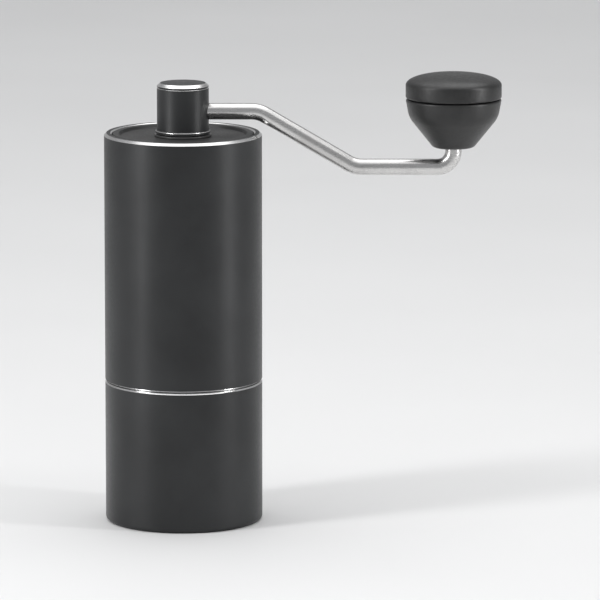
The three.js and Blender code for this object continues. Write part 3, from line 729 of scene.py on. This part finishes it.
bearing("upper", 113.5)
bearing("lower", 70.6)

# ---- Burrs -----------------------------------------------------------------------------------


def burr_surface(levels, sides, outward):
    """A toothed surface, from levels of (z, crest radius, depth, twist, teeth, lean).

    The twist is in teeth. The lean is the share of a tooth's width taken by its long flank.
    """
    rings = []
    for z, crest, depth, twist, count, lean in levels:
        ring = []
        for i in range(sides):
            angle = 2 * math.pi * i / sides
            phase = (angle / (2 * math.pi) * count + twist) % 1.0
            saw = phase / lean if phase < lean else (1 - phase) / (1 - lean)
            radius = crest + (depth * (1 - saw) if outward else -depth * (1 - saw))
            ring.append((radius * math.cos(angle), radius * math.sin(angle), z))
        rings.append(ring)
    return rings


def band_radius(z):
    return 17 + (15.1 - 17) * (z - 46.3) / 6.7


def burr_levels(start, band_top, end, crest_at, offset, fine_teeth, feed_teeth, feed_depth):
    levels = []
    for z in np.linspace(start, band_top, 9):
        levels.append((z, band_radius(z) + offset, 0.45, (z - start) * 0.12, fine_teeth, 0.82))
    for share in np.linspace(0, 1, 19):
        z = band_top + 0.55 + (end - band_top - 0.55) * share
        depth = feed_depth(share)
        levels.append((z, crest_at(share), depth, (z - band_top) * 0.075, feed_teeth, 0.9))
    return levels


outer_levels = burr_levels(45.3, 52.4, 63, lambda s: 15.1 + 1.1 * s, 0.0, 36, 9, lambda s: 1.3)
bore = loft(burr_surface(outer_levels, 432, True))
outer_burr = spin([(0, 46.3), (19.05, 46.3, 0.4), (19.05, 62, 0.4), (0, 62)], 160)
stand_for("outer_burr", cut(outer_burr, bore))


def inner_crest(share):
    return float(np.interp(share, (0, 0.33, 0.66, 1), (14.6, 12.4, 10, 7.9)))


def inner_depth(share):
    return float(np.interp(share, (0, 0.33, 0.66, 1), (1.2, 2.2, 1.9, 1.2)))


inner_levels = burr_levels(45, 52.2, 63.5, inner_crest, -0.5, 35, 7, inner_depth)
inner_burr = loft(burr_surface(inner_levels, 420, False))
CLICKS = 12
CLICK_CIRCLE = 7.2  # radius where the burr's dimples and the dial's click balls lie
tools = [hexagon(6.6, 44, 58.2), disc(5.8, 57.2, 65)]
tools += [sphere(1.5, polar(CLICK_CIRCLE, i * 360 / CLICKS, 44.1), 16) for i in range(CLICKS)]
stand_for("inner_burr", cut(inner_burr, *tools))

# ---- Shaft and dial --------------------------------------------------------------------------

shaft = spin([
    (0, 60), (3.8, 60, 0.3), (3.8, 76, 0.05), (3, 76), (3, 77.2), (3.8, 77.2, 0.05),
    (3.8, 118.7, 0.05), (3, 118.7), (3, 119.9), (3.8, 119.9, 0.05), (3.8, 120.2, 0.1), (0, 120.2),
], 96)
burr_hex = hexagon(6, 46.6, 60.5)
crank_hex = hexagon(6, 119.7, 127.6)
trim = spin([(2.9, 127.8), (3.0, 127.7), (4.2, 126.5), (4.2, 127.8)], 96)
crank_hex = cut(crank_hex, trim)
end = spin([(0, 33.2), (2.34, 33.2, 0.3), (2.34, 47.1), (0, 47.1)], 64)
shaft = cut(fuse(shaft, burr_hex, crank_hex, end), disc(1.5, 32, 38))
thread_section = [(-0.4, -0.42), (0.0, -0.06), (0.0, 0.06), (-0.4, 0.42)]
shaft_thread = sweep(thread_section, helix(2.5, 1.0, 11.5, 34.2, 36, taper=0.3))
stand_for("drive_shaft", fuse(shaft, shaft_thread))


def shaft_clip(node, low):
    """A spring clip pushed on from one side: a ring with a gap."""
    angles = np.linspace(125, 415, 73)
    outline = [polar(5.3, a) for a in angles]
    inner = [polar(3.3, a) for a in angles[::-1]]
    stand_for(node, prism(outline + inner, low, low + 0.8), bevel=0.1)


shaft_clip("lower_shaft_clip", 76.2)
shaft_clip("upper_shaft_clip", 118.9)
stand_for("spring_washer", tube(4.15, 5.9, 69.7, 70.3, bevel=0.1))


def coil_spring(node, bodies, place, radius, wire, turns, low, high, sides=14, steps=40):
    """A coil between two bodies, the lower one first, made at rest and not attached to either."""
    pitch = (high - low - 2 * wire) / turns
    stations = helix(radius, pitch, turns, low + wire, steps, flat_ends=0.8)
    stations = [(p + np.array((*place, 0)), a, b) for p, a, b in stations]
    ends = [[place[0] * MM, place[1] * MM, z * MM] for z in (low + 2 * wire, high - 2 * wire)]
    stand_for(node, sweep(circle(wire, sides), stations), stretch=(*bodies, *ends))


coil_spring("burr_spring", ("burr", "shaft"), (0, 0), 4.95, 0.42, 5, 57.3, 69.6)
socket_screw("shaft_end_screw", (0, 0, 32.9), 3.4, 1.9, 1.2, 4.5, 2.5, flip=True)

LOBES = 18
grip_outline = []
for i in range(LOBES * 10):
    wave = abs(math.cos(math.pi * i / 10))
    grip_outline.append(polar(10.45 + 0.55 * wave**0.6, 360 * i / (LOBES * 10)))
grip = prism(grip_outline, 37.4, 43.7)
core = spin([
    (0, 36.4), (9, 36.4, 0.6), (10.3, 37.8, 0.3), (10.3, 43.5, 0.3), (9.4, 44.7, 0.2), (0, 44.7),
], 128)
click_x = (CLICK_CIRCLE, -CLICK_CIRCLE)
tools = [disc(2.8, 35, 46)] + [disc(1.5, 39.6, 46, (x, 0, 0), 40) for x in click_x]
stand_for("adjustment_dial", cut(fuse(core, grip), *tools), bevel=0.12)

for i, x in enumerate(click_x):
    bodies = ("dial", f"detent_{i + 1}")
    coil_spring(f"click_spring_{i + 1}", bodies, (x, 0), 0.95, 0.18, 3, 39.7, 42.4, 10, 28)
    stand_for(f"click_ball_{i + 1}", sphere(1.2, (x, 0, 43.75)))

# ---- Lid -------------------------------------------------------------------------------------

lid = spin([
    (7.8, 123, 0.15), (10.5, 123, 0.3), (10.5, 125.9, 0.6), (20.6, 125.9, 1.0),
    (20.6, 119.5, 0.25), (23.2, 119.5, 0.4), (23.2, 122.8), (21.9, 122.8), (21.9, 124.8),
    (23.2, 124.8), (23.2, 129.4, 0.35), (21.2, 129.4, 0.3), (20.6, 128.4, 0.2), (7.8, 128.4),
], 192)
stand_for("lid", lid)

stand_for("lid_seal_ring", spin([
    (22.15, 123.0, 0.15), (22.9, 123.0, 0.2), (23.28, 123.45, 0.15), (23.0, 123.8, 0.1),
    (23.28, 124.15, 0.15), (22.9, 124.6, 0.2), (22.15, 124.6, 0.15),
], 160))

stand_for("lid_bushing", spin([
    (5.9, 122.8, 0.15), (7.5, 122.8, 0.2), (7.5, 128.5), (9.4, 128.5, 0.1),
    (9.4, 129.1, 0.15), (5.9, 129.1, 0.1),
], 128))

# ---- Crank -----------------------------------------------------------------------------------

ARM_RADIUS = 2.7
ARM_HIGH_Z = 136.5
ARM_LOW_Z = 118

hub = spin([
    (0, 120.6), (5.6, 120.6, 0.4), (5.6, 121.3), (4.9, 121.3), (4.9, 122.3), (5.6, 122.3),
    (5.6, 129.4), (9, 129.4, 0.2, BRIGHT), (9, 130.3, 0.2, BRIGHT), (8.55, 130.6, 0.1),
    (8.55, 144.6, 0.25, BRIGHT), (0, 144.6),
], 160)
arm_bore = sweep(circle(3, 64), [((x, 0, ARM_HIGH_Z), (0, 1, 0), (0, 0, 1)) for x in (-6.5, 13.5)])
screw_bore = disc(2.3, ARM_HIGH_Z, 146)
cap_seat = disc(5.4, 143.6, 146)
stand_for("crank_hub", cut(hub, hexagon(6.6, 119, 128.2), arm_bore, screw_bore, cap_seat))

hub_cap = stand_for("hub_cap", spin([
    (0, 143.9), (5.1, 143.9, 0.2), (5.1, 144.8), (8.55, 144.8, 0.12), (8.55, 145.1, 0.1),
    (7.5, 146, 0.1), (0, 146),
], 160))
for face in hub_cap.data.polygons:
    if 0.3 < face.normal.z < 0.95:  # the sloping edge
        face.material_index = BRIGHT

stand_for("arm_clamp_screw", cut(disc(2, 139.6, 143.2, bevel=0.2), hexagon(2, 141.4, 144)))
retaining_ring("hub_retaining_ring", 5.2, 7.0, 121.5, 122.1, 60, 0.7, False)


def bend_steps(length):
    return max(8, int(length / BEND_STEP))


def bent_path(corners):
    """Stations along straight runs in the XZ plane that are joined by round bends."""
    points = []
    for i, (x, z, radius) in enumerate(corners):
        if radius:
            points += fillet(corners[i - 1][:2], (x, z), corners[i + 1][:2], radius, bend_steps)
        else:
            points.append(np.array((x, z), float))
    points = np.array(points)
    tangents = np.gradient(points, axis=0)
    tangents[1:-1] = points[2:] - points[:-2]
    tangents /= np.linalg.norm(tangents, axis=1)[:, None]
    return [((x, 0, z), (0, 1, 0), (-tz, 0, tx)) for (x, z), (tx, tz) in zip(points, tangents)]


arm_path = bent_path([
    (-6, ARM_HIGH_Z, 0), (25, ARM_HIGH_Z, 9), (56.5, ARM_LOW_Z, 9), (KNOB_X, ARM_LOW_Z, 5.2),
    (KNOB_X, 137.4, 0),
])
arm = sweep(circle(ARM_RADIUS, 64), arm_path)
stand_for("crank_arm", cut(arm, disc(1.7, 129.5, 139, (KNOB_X, 0, 0))), bevel=0.15)

stand_for("knob_washer", tube(1.7, 5, 137.7, 138.4, (KNOB_X, 0, 0), bevel=0.1))
socket_screw("knob_screw", (KNOB_X, 0, 138.6), 2.6, 1.7, 1.4, 8, 2.2)

# ---- Knob ------------------------------------------------------------------------------------

KNOB_CENTRE = (KNOB_X, 0, 0)
CROWN_Z = 145.2
CROWN_HEIGHT = 4.0
CROWN_STEPS = 24

knob_base = spin([
    (4.6, 124.6, 0.2), (6.7, 124.6, 2), (14.7, 134.6, 8), (KNOB_RADIUS, 140.7, 0.6),
    (7.2, 140.7, 0.2), (7.2, 136.2), (4.6, 136.2),
], 160, KNOB_CENTRE)
stand_for("knob_base", knob_base)

crown = []
for k in range(CROWN_STEPS + 1):
    a = math.pi / 2 * k / CROWN_STEPS
    radius = KNOB_RADIUS * math.cos(a) ** 0.9 if k < CROWN_STEPS else 0
    crown.append((radius, CROWN_Z + CROWN_HEIGHT * math.sin(a) ** 0.95))
knob_cap = spin([
    (0, 141.2), (5.3, 141.2), (5.3, 138.9, 0.1), (6.9, 138.9, 0.1), (6.9, 141),
    (KNOB_RADIUS, 141, 0.6), *crown,
], 160, KNOB_CENTRE)
stand_for("knob_cap", knob_cap)

stand_for("knob_bushing", spin([
    (3.0, 125.0, 0.2), (4.3, 125.0, 0.2), (4.3, 136.3), (6.6, 136.3, 0.1), (6.6, 137.1, 0.2),
    (3.0, 137.1, 0.15),
], 96, KNOB_CENTRE))

# ---- Floor -----------------------------------------------------------------------------------


FLOOR_FRONT = -4.0  # the floor is laid out in metres
BEND_Y = 2.6
BEND_RADIUS = 0.8
WALL_TOP = 3.0
HALF_WIDTH = 4


def studio_sweep():
    """A floor that curves up into a wall far behind the object."""
    rows = [(FLOOR_FRONT, 0.0), (BEND_Y, 0.0)]
    for a in np.linspace(0.1, math.pi / 2, 14):
        rows.append((BEND_Y + BEND_RADIUS * math.sin(a), BEND_RADIUS - BEND_RADIUS * math.cos(a)))
    rows.append((BEND_Y + BEND_RADIUS, WALL_TOP))
    verts = [(x / MM, y / MM, z / MM) for y, z in rows for x in (-HALF_WIDTH, HALF_WIDTH)]
    faces = [[2 * k, 2 * k + 1, 2 * k + 3, 2 * k + 2] for k in range(len(rows) - 1)]
    made = from_grid("studio_floor", verts, faces)
    made.data.materials[MAIN] = studio_floor("floor_pale")
    smooth(made.data)


studio_sweep()
